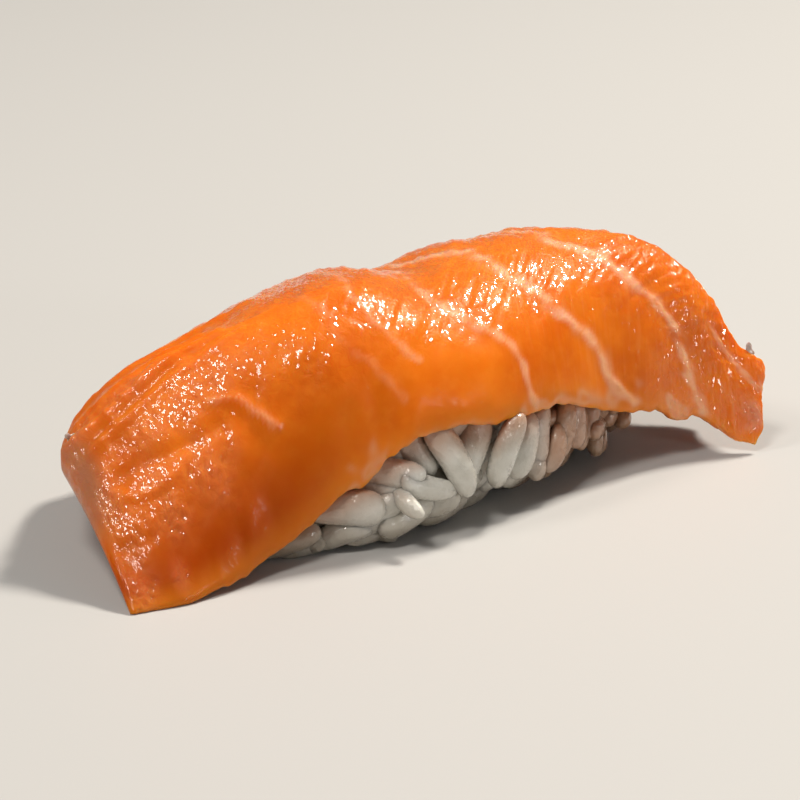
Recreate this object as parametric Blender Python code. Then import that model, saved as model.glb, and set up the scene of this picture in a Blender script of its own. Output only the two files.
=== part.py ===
"""Salmon nigiri: a slice of raw salmon draped over a hand-pressed block of rice.

Two solids: "salmon", a soft slab that bends over the rice, rests its front left corner on the
table and hangs free past the rice at its tail, and "rice", a block with a grainy outline.
Places are worked out in millimetres, x along the slice, y to the back and z up, and the finished
meshes are moved so that the origin is the middle of the underside, and scaled to metres.
"""

import bpy
import numpy as np
from mathutils import Vector
from mathutils.bvhtree import BVHTree

MM = 0.001

# The slice, as sections from its left end (0) to its tail (1). Each section has a point on the
# front edge, on the crest and on the back edge of its outer skin, and a point under it that the
# thickness is measured towards.
STATIONS = [0, 0.10, 0.22, 0.34, 0.46, 0.58, 0.70, 0.80, 0.90, 0.95, 1.0]
FRONT_EDGE = [
    (-0.4, -0.9, 0.0), (6, -1.8, 0.0), (14.5, -0.8, 1.8), (22.9, -0.6, 6.2), (30.2, -1.5, 10.2),
    (39, -1.6, 9.7), (47, 0.0, 9.1), (55.8, 1.5, 6.0), (63.5, 1.5, 4.2), (67.2, 0.5, 2.4),
    (70.7, -1.4, 0.0),
]
CREST = [
    (0.3, 13.5, 9.5), (4.9, 13, 14.5), (13.5, 11, 19.0), (24.5, 9.5, 22.1), (35, 10.5, 21.4),
    (46, 13, 22.0), (55, 12.5, 21.9), (63.0, 9, 20.3), (67.5, 3.8, 14.1), (69.3, 2.0, 10.0),
    (71.9, 0.2, 7.8),
]
BACK_EDGE = [
    (6.8, 24.5, 6.5), (10.5, 27, 7), (18, 28, 8.5), (27, 28, 10), (36, 28, 10.5),
    (46, 28, 11), (55, 25.5, 10.5), (62, 20.5, 8.5), (67, 13.5, 6), (69, 10.5, 5),
    (70.8, 7.5, 4),
]
HEART = [
    (5, 12.5, 0), (9, 13, 2), (16, 13.5, 4), (25, 13.5, 6.5), (34, 13.5, 8),
    (43, 13.5, 8), (51, 13, 8), (58, 11, 7), (63, 8, 5), (64.5, 6, 3.5),
    (66, 4, 2),
]
FRONT_ROUNDNESS = [0.2, 0.4, 0.75, 1.0, 1.05, 1.0, 1.0, 0.95, 0.75, 0.62, 0.5]
BACK_ROUNDNESS = [0.4, 0.5, 0.65, 0.8, 0.9, 0.8, 0.9, 0.9, 0.75, 0.68, 0.6]
THICKNESS = [2.6, 3.6, 4.6, 5.2, 5.4, 5.4, 5.0, 4.2, 3.4, 3.0, 2.6]
EDGE_THINNING = 0.5
THINNING_START = 0.45
EDGE_ROUND = 0.7
SLICE_LENGTH = 76.0
SLICE_HALF_WIDTH = 20.0
SLICE_STEPS = (46, 20)
END_CROWDING = 0.65

# The rice block: a rounded oblong that lies a little turned under the slice.
RICE_CENTRE = (37.2, 12.6)
RICE_TURN = 8.0
RICE_HALF_LENGTH = 25.6
RICE_HALF_WIDTH = 13.4
RICE_SQUARENESS = 2.6
RICE_WIDEST_Z = 5.0
RICE_TOP_Z = 19.0
FOOT_RATIO_ENDS = 0.90
FOOT_RATIO_FRONT_LEFT = 0.84
FOOT_RATIO_FRONT_RIGHT = 0.38
FOOT_RATIO_BACK = 0.80
FOOT_CURVE = 0.62
FRONT_TO_BACK_SPAN = (-0.3, 0.3)
LEFT_TO_RIGHT_SPAN = (-0.8, 0.7)
RICE_STEPS = (104, 7, 13)
RING_CROWDING = 1.5
LOWEST_RING_Z = 0.15
FLAT_FOOT_Z = 3.0

# The rice keeps clear of the slice's underside and is tucked in under its rim.
CLEARANCE = 0.55
STEEPEST_SLANT = 0.35
TUCK_SLOPE = 0.55
TUCK_PASSES = 10

# Grains that show as lumps on the block.
GRAIN_LENGTH = 7.4
GRAIN_WIDTH = 3.1
GRAIN_RISE = 1.15
GRAIN_COUNT = 190
GRAIN_HEIGHTS = (0.5, 11.0)
GRAIN_SEED = 12

SALMON_COLOUR = (0.62, 0.19, 0.05, 1.0)
RICE_COLOUR = (0.78, 0.75, 0.68, 1.0)
SALMON_ROUGHNESS = 0.25
RICE_ROUGHNESS = 0.35


def along(points, place):
    """Smooth curve through the points that stand at STATIONS, read at each place."""
    stations = np.asarray(STATIONS, float)
    points = np.asarray(points, float).reshape(len(stations), -1)
    slopes = np.gradient(points, stations, axis=0)
    low = np.clip(np.searchsorted(stations, place, side="right") - 1, 0, len(stations) - 2)
    step = stations[low + 1] - stations[low]
    t = ((place - stations[low]) / step)[..., None]
    step = step[..., None]
    return (
        (2 * t**3 - 3 * t**2 + 1) * points[low]
        + (t**3 - 2 * t**2 + t) * step * slopes[low]
        + (3 * t**2 - 2 * t**3) * points[low + 1]
        + (t**3 - t**2) * step * slopes[low + 1]
    )


def ease(low, high, value):
    """0 below low, 1 above high, and a smooth step between them."""
    t = np.clip((value - low) / (high - low), 0, 1)
    return t * t * (3 - 2 * t)


def skin(place, across):
    """Outer skin: across runs from -1, the front edge, over 0, the crest, to 1, the back edge.

    Each half of a section blends a straight line with a quarter of an ellipse.
    """
    crest = along(CREST, place)
    edge = np.where((across < 0)[..., None], along(FRONT_EDGE, place), along(BACK_EDGE, place))
    front_round = along(FRONT_ROUNDNESS, place)[..., 0]
    back_round = along(BACK_ROUNDNESS, place)[..., 0]
    roundness = np.where(across < 0, front_round, back_round)
    out = np.abs(across)
    quarter = out * np.pi / 2
    reach = (1 - roundness) * out + roundness * np.sin(quarter)
    drop = (1 - roundness) * out + roundness * (1 - np.cos(quarter))
    return crest + (edge - crest) * np.stack([reach, reach, drop], axis=-1)


def rounded(distance, radius):
    """Share of the full thickness at a distance from a rounded edge."""
    return np.sqrt(np.clip(1 - (1 - np.minimum(distance / radius, 1)) ** 2, 0, 1))


def slab(place, across, side):
    """A point of the slice: side -1 is its outer face and side 1 its underside."""
    outer = skin(place, across)
    inward = along(HEART, place) - outer
    inward /= np.linalg.norm(inward, axis=-1, keepdims=True)
    full = along(THICKNESS, place)[..., 0]
    full = full * (1 - EDGE_THINNING * ease(THINNING_START, 1, np.abs(across)))
    from_ends = np.minimum(place, 1 - place) * SLICE_LENGTH
    from_sides = (1 - np.abs(across)) * SLICE_HALF_WIDTH
    radius = full * EDGE_ROUND
    here = full * rounded(from_ends, radius) * rounded(from_sides, radius)
    return outer + inward * (full * 0.5 + side * here * 0.5)[..., None]


def crowded(steps):
    """Numbers from 0 to 1 that stand closer together near both ends."""
    even = np.linspace(0, 1, steps + 1)
    return (1 - END_CROWDING) * even + END_CROWDING * (1 - np.cos(np.pi * even)) / 2


def slice_mesh():
    """The slice's vertices and faces: two faces of one grid that share its whole rim."""
    long_steps, wide_steps = SLICE_STEPS
    place, across = np.meshgrid(crowded(long_steps), crowded(wide_steps) * 2 - 1, indexing="ij")
    outer = slab(place, across, -1)
    under = slab(place, across, 1)
    columns = wide_steps + 1
    outer_index = np.arange(place.size).reshape(place.shape)
    under_index = outer_index.copy()
    inside = (slice(1, -1), slice(1, -1))
    under_index[inside] = place.size + np.arange(under_index[inside].size).reshape(
        long_steps - 1, columns - 2
    )
    vertices = np.concatenate([outer.reshape(-1, 3), under[inside].reshape(-1, 3)])
    faces = []
    for row in range(long_steps):
        for column in range(wide_steps):
            corners = [(row, column), (row + 1, column), (row + 1, column + 1), (row, column + 1)]
            faces.append([outer_index[corner] for corner in corners])
            faces.append([under_index[corner] for corner in reversed(corners)])
    vertices[:, 2] -= vertices[:, 2].min()
    return vertices, faces


def rice_form(turn, reach, height):
    """A point at a direction round the block, at its reach along and across it, and at a height."""
    power = 2 / RICE_SQUARENESS
    flat_x = RICE_HALF_LENGTH * np.sign(np.cos(turn)) * np.abs(np.cos(turn)) ** power * reach[0]
    flat_y = RICE_HALF_WIDTH * np.sign(np.sin(turn)) * np.abs(np.sin(turn)) ** power * reach[1]
    angle = np.radians(RICE_TURN)
    x = RICE_CENTRE[0] + flat_x * np.cos(angle) - flat_y * np.sin(angle)
    y = RICE_CENTRE[1] + flat_x * np.sin(angle) + flat_y * np.cos(angle)
    return np.stack([x, y, np.broadcast_to(height, x.shape)], axis=-1)


def lower_reach(turn, share):
    """Reach below the widest line, at a share of its height: the front right is drawn in furthest."""
    back = ease(*FRONT_TO_BACK_SPAN, np.sin(turn))
    right = ease(*LEFT_TO_RIGHT_SPAN, np.cos(turn))
    front_foot = FOOT_RATIO_FRONT_LEFT + (FOOT_RATIO_FRONT_RIGHT - FOOT_RATIO_FRONT_LEFT) * right
    foot = front_foot + (FOOT_RATIO_BACK - front_foot) * back
    grown = share**FOOT_CURVE
    return FOOT_RATIO_ENDS + (1 - FOOT_RATIO_ENDS) * grown, foot + (1 - foot) * grown


def rice_rings():
    """Rings of points from the foot over the widest line to near the top."""
    around, lower_steps, upper_steps = RICE_STEPS
    turn = np.linspace(0, 2 * np.pi, around, endpoint=False)
    rings = []
    for step in range(lower_steps + 1):
        share = step / lower_steps
        rings.append(rice_form(turn, lower_reach(turn, share), RICE_WIDEST_Z * share))
    for step in range(1, upper_steps):
        angle = np.pi / 2 * (step / upper_steps) ** RING_CROWDING
        reach = np.cos(angle) ** (2 / RICE_SQUARENESS)
        rise = np.sin(angle) ** (2 / RICE_SQUARENESS)
        height = RICE_WIDEST_Z + (RICE_TOP_Z - RICE_WIDEST_Z) * rise
        rings.append(rice_form(turn, (reach, reach), height))
    return np.array(rings)


def outward_from_core(points):
    """Nearest point on the line through the middle of the block, and the way out from it."""
    angle = np.radians(RICE_TURN)
    axis = np.array([np.cos(angle), np.sin(angle), 0])
    middle = np.array([*RICE_CENTRE, RICE_WIDEST_Z])
    reach = RICE_HALF_LENGTH - RICE_HALF_WIDTH
    run = np.clip((points - middle) @ axis, -reach, reach)
    base = middle + run[..., None] * axis
    way = points - base
    length = np.linalg.norm(way, axis=-1)
    return base, way / length[..., None], length


def grain_lumps(points):
    """Height of the grains over each point: half ellipsoids scattered on the block."""
    random = np.random.default_rng(GRAIN_SEED)
    turn = random.uniform(0, 2 * np.pi, GRAIN_COUNT)
    height = random.uniform(*GRAIN_HEIGHTS, GRAIN_COUNT)
    centres = rice_form(turn, lower_reach(turn, np.minimum(height / RICE_WIDEST_Z, 1)), height)
    _, out, _ = outward_from_core(centres)
    lean = random.uniform(0, np.pi, GRAIN_COUNT)
    side = np.cross(out, [0, 0, 1.0])
    side /= np.linalg.norm(side, axis=1, keepdims=True)
    up = np.cross(side, out)
    long_axis = side * np.cos(lean)[:, None] + up * np.sin(lean)[:, None]
    cross_axis = np.cross(out, long_axis)
    away = points[:, None, :] - centres[None]
    run = np.einsum("pgk,gk->pg", away, long_axis) / (GRAIN_LENGTH / 2)
    across = np.einsum("pgk,gk->pg", away, cross_axis) / (GRAIN_WIDTH / 2)
    depth = np.einsum("pgk,gk->pg", away, out) / GRAIN_LENGTH
    dome = np.sqrt(np.clip(1 - run**2 - across**2 - depth**2, 0, 1))
    return GRAIN_RISE * dome.max(axis=1) * ease(0, FLAT_FOOT_Z, points[:, 2])


def room_under_slice(base, way, slice_tree):
    """How far each ray from the core can go before it is CLEARANCE short of the slice."""
    room = np.full(len(base), np.inf)
    for index in range(len(base)):
        direction = Vector(way[index])
        hit = slice_tree.ray_cast(Vector(base[index]), direction)
        if hit[0] is not None:
            slant = max(abs(hit[1].dot(direction)), STEEPEST_SLANT)
            room[index] = hit[3] - CLEARANCE / slant
    return room


def spread_room(room, points):
    """The room eased away from the slice's rim: it opens by TUCK_SLOPE for each step along."""
    for _ in range(TUCK_PASSES):
        for axis, shift in ((0, 1), (0, -1), (1, 1), (1, -1)):
            step = np.linalg.norm(points - np.roll(points, shift, axis=axis), axis=-1)
            offered = np.roll(room, shift, axis=axis) + TUCK_SLOPE * step
            if axis == 0:
                offered[0 if shift == 1 else -1] = np.inf
            room = np.minimum(room, offered)
    return room


def rice_mesh(slice_tree):
    """The rice's vertices and faces: rings closed by a flat foot and a top point.

    Each point stands on a ray from the core. Grains lift it, and the slice limits it.
    """
    around = RICE_STEPS[0]
    rings = rice_rings()
    base, way, length = outward_from_core(rings)
    lift = grain_lumps(rings.reshape(-1, 3)).reshape(length.shape)
    room = room_under_slice(base.reshape(-1, 3), way.reshape(-1, 3), slice_tree)
    room = spread_room(room.reshape(length.shape), rings)
    points = base + way * np.minimum(length + lift, room)[..., None]
    points[0, :, 2] = 0
    points[1:, :, 2] = np.maximum(points[1:, :, 2], LOWEST_RING_Z)
    top = points[-1].mean(axis=0)
    vertices = np.concatenate([points.reshape(-1, 3), [top]])
    faces = [list(range(around))[::-1]]
    for ring in range(len(rings) - 1):
        for step in range(around):
            after = (step + 1) % around
            low = ring * around
            high = low + around
            faces.append([low + step, low + after, high + after, high + step])
    last = (len(rings) - 1) * around
    for step in range(around):
        faces.append([last + step, last + (step + 1) % around, len(vertices) - 1])
    return vertices, faces


def food_material(name, colour, roughness):
    """A plain glossy material in the food's own colour."""
    material = bpy.data.materials.new(name)
    material.use_nodes = True
    shader = material.node_tree.nodes["Principled BSDF"]
    shader.inputs["Base Color"].default_value = colour
    shader.inputs["Roughness"].default_value = roughness
    shader.inputs["Metallic"].default_value = 0.0
    return material


def add_object(name, vertices, faces, origin, material):
    """A smooth-shaded object in metres, with its vertices measured from the origin given."""
    mesh = bpy.data.meshes.new(name)
    mesh.from_pydata(((vertices - origin) * MM).tolist(), [], faces)
    mesh.materials.append(material)
    mesh.shade_smooth()
    mesh.validate()
    placed = bpy.data.objects.new(name, mesh)
    bpy.context.collection.objects.link(placed)


def build():
    """Clear the scene and add the two solids."""
    for old in list(bpy.data.objects):
        bpy.data.objects.remove(old)
    salmon_vertices, salmon_faces = slice_mesh()
    slice_tree = BVHTree.FromPolygons(salmon_vertices.tolist(), salmon_faces)
    rice_vertices, rice_faces = rice_mesh(slice_tree)
    everything = np.concatenate([salmon_vertices, rice_vertices])
    low = everything.min(axis=0)
    high = everything.max(axis=0)
    origin = np.array([(low[0] + high[0]) / 2, (low[1] + high[1]) / 2, low[2]])
    salmon = food_material("salmon", SALMON_COLOUR, SALMON_ROUGHNESS)
    rice = food_material("rice", RICE_COLOUR, RICE_ROUGHNESS)
    add_object("salmon", salmon_vertices, salmon_faces, origin, salmon)
    add_object("rice", rice_vertices, rice_faces, origin, rice)


build()
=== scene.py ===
"""Looks of a piece of salmon nigiri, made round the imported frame.

Shapes are worked out in millimetres, x along the slice, y to the back and z up, and are moved into
the frame and scaled to metres when a mesh is made. Three kinds of piece replace the CAD solids:
the slice of salmon, the heap of rice grains over a smaller core, and two bits of loose skin.

A place on the slice is given by two numbers: how far along it lies, from 0 at the left end to 1 at
the tail, and how far across, from -1 at the front edge over 0 at the crest to 1 at the back edge.
"""

import bpy
import numpy as np
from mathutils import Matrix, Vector
from mathutils.bvhtree import BVHTree


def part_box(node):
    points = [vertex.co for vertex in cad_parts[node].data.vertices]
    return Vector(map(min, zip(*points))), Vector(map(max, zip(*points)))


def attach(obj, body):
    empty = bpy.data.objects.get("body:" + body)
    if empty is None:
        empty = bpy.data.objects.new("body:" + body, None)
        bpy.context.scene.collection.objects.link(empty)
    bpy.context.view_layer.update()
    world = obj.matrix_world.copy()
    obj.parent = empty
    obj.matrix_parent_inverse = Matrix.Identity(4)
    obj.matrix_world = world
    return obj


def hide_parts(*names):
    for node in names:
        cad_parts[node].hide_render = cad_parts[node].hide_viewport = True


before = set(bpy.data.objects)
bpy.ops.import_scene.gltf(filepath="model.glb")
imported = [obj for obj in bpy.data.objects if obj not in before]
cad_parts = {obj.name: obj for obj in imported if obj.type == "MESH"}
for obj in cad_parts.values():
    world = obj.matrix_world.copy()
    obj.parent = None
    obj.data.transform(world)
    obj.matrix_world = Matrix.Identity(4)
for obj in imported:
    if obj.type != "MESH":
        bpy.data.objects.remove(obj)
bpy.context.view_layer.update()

MM = 0.001

# -------- the slice's form, as in the CAD

STATIONS = [0, 0.10, 0.22, 0.34, 0.46, 0.58, 0.70, 0.80, 0.90, 0.95, 1.0]
FRONT_EDGE = [
    (-0.4, -0.9, 0.0), (6, -1.8, 0.0), (14.5, -0.8, 1.8), (22.9, -0.6, 6.2), (30.2, -1.5, 10.2),
    (39, -1.6, 9.7), (47, 0.0, 9.1), (55.8, 1.5, 6.0), (63.5, 1.5, 4.2), (67.2, 0.5, 2.4),
    (70.7, -1.4, 0.0),
]
CREST = [
    (0.3, 13.5, 9.5), (4.9, 13, 14.5), (13.5, 11, 19.0), (24.5, 9.5, 22.1), (35, 10.5, 21.4),
    (46, 13, 22.0), (55, 12.5, 21.9), (63.0, 9, 20.3), (67.5, 3.8, 14.1), (69.3, 2.0, 10.0),
    (71.9, 0.2, 7.8),
]
BACK_EDGE = [
    (6.8, 24.5, 6.5), (10.5, 27, 7), (18, 28, 8.5), (27, 28, 10), (36, 28, 10.5),
    (46, 28, 11), (55, 25.5, 10.5), (62, 20.5, 8.5), (67, 13.5, 6), (69, 10.5, 5),
    (70.8, 7.5, 4),
]
HEART = [
    (5, 12.5, 0), (9, 13, 2), (16, 13.5, 4), (25, 13.5, 6.5), (34, 13.5, 8),
    (43, 13.5, 8), (51, 13, 8), (58, 11, 7), (63, 8, 5), (64.5, 6, 3.5),
    (66, 4, 2),
]
FRONT_ROUNDNESS = [0.2, 0.4, 0.75, 1.0, 1.05, 1.0, 1.0, 0.95, 0.75, 0.62, 0.5]
BACK_ROUNDNESS = [0.4, 0.5, 0.65, 0.8, 0.9, 0.8, 0.9, 0.9, 0.75, 0.68, 0.6]
THICKNESS = [2.6, 3.6, 4.6, 5.2, 5.4, 5.4, 5.0, 4.2, 3.4, 3.0, 2.6]
EDGE_THINNING = 0.5
EDGE_ROUND = 0.7
SLICE_LENGTH = 76.0
SLICE_HALF_WIDTH = 20.0
SLICE_STEPS = (330, 134)
END_CROWDING = 0.3
THINNING_START = 0.45

# Bands of fat: strength, width, and a line of places (along, across) that each one follows.
BANDS = [
    (0.85, 0.80, [(0.36, 0.95), (0.43, 0.5), (0.478, 0.19), (0.473, -0.05), (0.498, -0.295),
                  (0.541, -0.478), (0.601, -0.66), (0.627, -0.865), (0.648, -1.0)]),
    (1.00, 1.05, [(0.42, 0.95), (0.48, 0.45), (0.523, 0.16), (0.551, 0.045), (0.584, -0.172),
                  (0.633, -0.37), (0.690, -0.532), (0.742, -0.70), (0.769, -0.848),
                  (0.802, -0.935)]),
    (1.00, 1.25, [(0.55, 0.95), (0.61, 0.45), (0.671, -0.027), (0.718, -0.152), (0.748, -0.25),
                  (0.788, -0.358), (0.832, -0.44), (0.862, -0.512), (0.887, -0.72),
                  (0.909, -0.92)]),
    (0.45, 0.70, [(0.26, 0.95), (0.36, 0.45), (0.387, 0.115), (0.382, -0.125), (0.395, -0.31),
                  (0.415, -0.415), (0.456, -0.587)]),
    (0.22, 0.80, [(0.30, 0.40), (0.330, 0.0), (0.345, -0.25), (0.353, -0.405), (0.397, -0.60),
                  (0.427, -0.75)]),
    (0.50, 0.45, [(0.195, -0.30), (0.212, -0.338), (0.225, -0.38), (0.243, -0.505),
                  (0.252, -0.552)]),
    (0.75, 1.60, [(0.917, -0.247), (0.949, -0.272), (0.964, -0.355), (0.985, -0.36),
                  (0.998, -0.26)]),
    (0.55, 1.20, [(0.975, -0.62), (0.985, -0.74), (0.978, -0.86)]),
    (0.45, 0.90, [(0.66, 0.95), (0.74, 0.60), (0.81, 0.30), (0.87, 0.05)]),
]
# Pale stretches of the front edge, where the flesh thins out over the rice.
PALE_EDGE = [
    (0.80, 1.60, [(0.800, -0.90), (0.755, -0.94), (0.710, -0.96), (0.663, -0.97), (0.61, -0.97)]),
    (0.70, 1.90, [(0.345, -0.99), (0.368, -0.92), (0.392, -0.98)]),
    (0.45, 0.90, [(0.44, -0.98), (0.50, -0.99), (0.56, -0.98)]),
    (0.95, 1.70, [(0.862, -0.93), (0.880, -0.95), (0.895, -0.93)]),
]
# Folds near the left end: rise, width and line.
FOLDS = [
    (0.62, 0.55, [(0.015, 0.00), (0.060, -0.05), (0.117, -0.065), (0.182, -0.017), (0.245, 0.02)]),
    (0.50, 0.50, [(0.008, 0.14), (0.060, 0.07), (0.110, 0.04), (0.170, 0.08), (0.230, 0.13)]),
    (0.34, 0.42, [(0.050, -0.13), (0.110, -0.145), (0.180, -0.11), (0.260, -0.06)]),
    (0.36, 0.60, [(0.030, 0.34), (0.120, 0.26), (0.200, 0.28), (0.300, 0.24)]),
    (0.26, 0.45, [(0.195, -0.30), (0.212, -0.338), (0.225, -0.38), (0.243, -0.505),
                  (0.252, -0.56)]),
    (-0.28, 0.7, [(0.060, -0.33), (0.105, -0.355), (0.150, -0.40), (0.195, -0.42)]),
    (0.22, 0.40, [(0.055, -0.42), (0.090, -0.47), (0.130, -0.47)]),
    (-0.12, 0.5, [(0.020, -0.62), (0.060, -0.66), (0.100, -0.62)]),
]
# Wrinkled, shiny patches: place, and half sizes along and across.
PATCHES = [
    (0.138, -0.26, 0.055, 0.10), (0.100, -0.43, 0.030, 0.09), (0.165, -0.53, 0.036, 0.15),
    (0.045, -0.48, 0.020, 0.22), (0.210, -0.20, 0.060, 0.12), (0.030, -0.86, 0.022, 0.10),
    (0.105, -0.60, 0.030, 0.12), (0.085, -0.86, 0.012, 0.07), (0.880, -0.93, 0.018, 0.07),
    (0.050, -0.02, 0.035, 0.10), (0.130, -0.03, 0.050, 0.06), (0.972, -0.70, 0.014, 0.12),
    (0.008, -0.14, 0.010, 0.16),
]
# Soft swellings and hollows on the top: place, over, half sizes along and across, and rise.
SWELLINGS = [
    (0.408, 0.15, 0.050, 0.55, 0.75), (0.505, 0.15, 0.034, 0.50, -0.55),
    (0.570, 0.20, 0.030, 0.50, 0.15), (0.260, 0.15, 0.050, 0.50, -0.40),
    (0.790, 0.10, 0.040, 0.40, -0.25), (0.866, 0.05, 0.036, 0.50, 0.40),
    (0.968, 0.05, 0.020, 0.60, 0.45),
]
# Parts of the front edge that hang lower: place, half length and drop.
HANGING = [(0.880, 0.017, 0.85), (0.370, 0.022, 0.95), (0.965, 0.028, 0.60)]
TAIL_CORNER_PULL = (-0.9, 0.2, 0.6)
# Unevenness of the slice's long edges: rise and length of its slow and of its fast waves.
EDGE_WAVES = (0.14, 5.0)
EDGE_RIPPLE = (0.10, 1.6)
# Relief of the flesh: rise and length of each kind of wave.
FLESH_SWELL = (0.09, 12.0)
FLESH_WAVES = (0.06, 4.5)
WRINKLES = (0.15, 1.4)
FINE_WRINKLES = (0.06, 0.8)
FIBRES = (0.038, 0.85)
RIPPLES = (0.055, 1.9)
FINE_RIPPLES = (0.022, 0.8)
# Each band of fat is a ridge in a valley: rise and half width of both.
BAND_RIDGE = (0.17, 0.45)
BAND_VALLEY = (0.30, 1.9)
FIBRE_LEAN = 0.16
# Grey skin at the upper left corner and at the tail's lower corner: place, half sizes, strength
# and the power of the distance that it fades with.
GREY_CORNERS = [(0.008, -0.18, 0.042, 0.34, 0.75, 4), (0.978, -0.72, 0.016, 0.13, 0.6, 2)]
# Loose bits of skin: piece, place along and across, reach in millimetres, width and thickness.
SLIVERS = [
    ("tail_sliver", 0.962, 0.02, (-0.05, -0.15, 0.95), 1.2, 0.5),
    ("corner_sliver", 0.036, 0.02, (-0.55, -0.1, 0.35), 1.1, 0.7),
]
SLIVER_RINGS = 9
SLIVER_SIDES = 10


def along(points, place):
    """Smooth curve through the points that stand at STATIONS, read at each place.

    Between two stations it is the cubic that meets both points with slopes set by their
    neighbours.
    """
    return through(STATIONS, points, place)


def through(marks, points, place):
    """Cubic through points at increasing marks, with each slope taken from its neighbours."""
    marks = np.asarray(marks, float)
    points = np.asarray(points, float).reshape(len(marks), -1)
    slopes = np.gradient(points, marks, axis=0)
    low = np.clip(np.searchsorted(marks, place, side="right") - 1, 0, len(marks) - 2)
    step = marks[low + 1] - marks[low]
    t = ((place - marks[low]) / step)[..., None]
    step = step[..., None]
    return (
        (2 * t**3 - 3 * t**2 + 1) * points[low]
        + (t**3 - 2 * t**2 + t) * step * slopes[low]
        + (3 * t**2 - 2 * t**3) * points[low + 1]
        + (t**3 - t**2) * step * slopes[low + 1]
    )


def ease(start, end, value):
    """0 up to the start and 1 from the end on, with a smooth step between: either may be lower."""
    t = np.clip((value - start) / (end - start), 0, 1)
    return t * t * (3 - 2 * t)


def unit(vectors):
    """Vectors brought to length 1."""
    return vectors / np.linalg.norm(vectors, axis=-1, keepdims=True)


def waves(x, y, size, seed, count=14):
    """Soft random waves between about -1 and 1: a sum of sines in random directions.

    Their lengths spread evenly from 0.6 to 1.7 times the size given.
    """
    random = np.random.default_rng(seed)
    heading = random.uniform(0, 2 * np.pi, count)
    number = 2 * np.pi / (size * random.uniform(0.6, 1.7, count))
    phase = random.uniform(0, 2 * np.pi, count)
    total = np.zeros(np.broadcast(x, y).shape)
    for index in range(count):
        run = np.cos(heading[index]) * x + np.sin(heading[index]) * y
        total += np.sin(number[index] * run + phase[index])
    return total / np.sqrt(count)


def line_distance(place, across, line):
    """Distance in millimetres on the slice from each point to a smooth line of places."""
    line = np.array(line)
    marks = np.linspace(0, 1, len(line))
    fine = through(marks, line, np.linspace(0, 1, 90))
    least = np.full(place.shape, np.inf)
    for dot in fine:
        gap = np.hypot((place - dot[0]) * SLICE_LENGTH, (across - dot[1]) * SLICE_HALF_WIDTH)
        least = np.minimum(least, gap)
    return least


def skin(place, across):
    """Outer skin: across runs from -1, the front edge, over 0, the crest, to 1, the back edge.

    Each half of a section blends a straight line with a quarter of an ellipse. The front edge
    hangs a little up and down, with a soft drop where a flake comes loose near the tail.
    """
    crest = along(CREST, place)
    edge = np.where((across < 0)[..., None], along(FRONT_EDGE, place), along(BACK_EDGE, place))
    front_round = along(FRONT_ROUNDNESS, place)[..., 0]
    back_round = along(BACK_ROUNDNESS, place)[..., 0]
    roundness = np.where(across < 0, front_round, back_round)
    out = np.abs(across)
    quarter = out * np.pi / 2
    reach = (1 - roundness) * out + roundness * np.sin(quarter)
    drop = (1 - roundness) * out + roundness * (1 - np.cos(quarter))
    outer = crest + (edge - crest) * np.stack([reach, reach, drop], axis=-1)
    run = place * SLICE_LENGTH
    uneven = EDGE_WAVES[0] * waves(run, np.sign(across) * 50.0, EDGE_WAVES[1], 21)
    uneven += EDGE_RIPPLE[0] * waves(run, 0 * run, EDGE_RIPPLE[1], 22)
    for at, half, lower in HANGING:
        uneven += lower * np.exp(-(((place - at) / half) ** 4))
    low_edge = ease(0.72, 1.0, -across) * ease(0.02, 0.2, place)
    outer[..., 2] -= low_edge * uneven
    corner = ease(0.955, 1.0, place) * ease(0.74, 1.0, -across)
    outer += corner[..., None] * np.array(TAIL_CORNER_PULL)
    outer[..., 2] -= ease(0.75, 1.0, across) * uneven
    return outer


def rounded(distance, radius):
    """Share of the full thickness at a distance from a rounded edge."""
    return np.sqrt(np.clip(1 - (1 - np.minimum(distance / radius, 1)) ** 2, 0, 1))


def band_strength(place, across, bands, ragged=0.25):
    """Strength of the strongest band at each point: a bell curve over the distance to it."""
    run, reach = place * SLICE_LENGTH, across * SLICE_HALF_WIDTH
    wander = ragged * waves(run, reach, 2.2, 31)
    strongest = np.zeros(place.shape)
    for strength, width, line in bands:
        away = line_distance(place, across, line) + wander * width
        strongest = np.maximum(strongest, strength * np.exp(-((away / (width * 0.46)) ** 2)))
    return strongest


def patch_strength(place, across):
    """Strength of the wrinkled patches: ragged bell curves round their places."""
    run, reach = place * SLICE_LENGTH, across * SLICE_HALF_WIDTH
    ragged = 0.35 * waves(run, reach, 2.5, 41)
    strongest = np.zeros(place.shape)
    for at, over, long_half, wide_half in PATCHES:
        away = ((place - at) / long_half) ** 2 + ((across - over) / wide_half) ** 2
        strongest = np.maximum(strongest, np.exp(-away * np.clip(1.0 + ragged, 0.4, 2.0)))
    return strongest


def tail_share(place, across):
    """1 on the tail beyond the last band of fat, fading to 0 left of it."""
    line = 0.80 + 0.11 * ease(0.2, -0.8, across)
    return ease(-0.02, 0.05, place - line)


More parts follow.
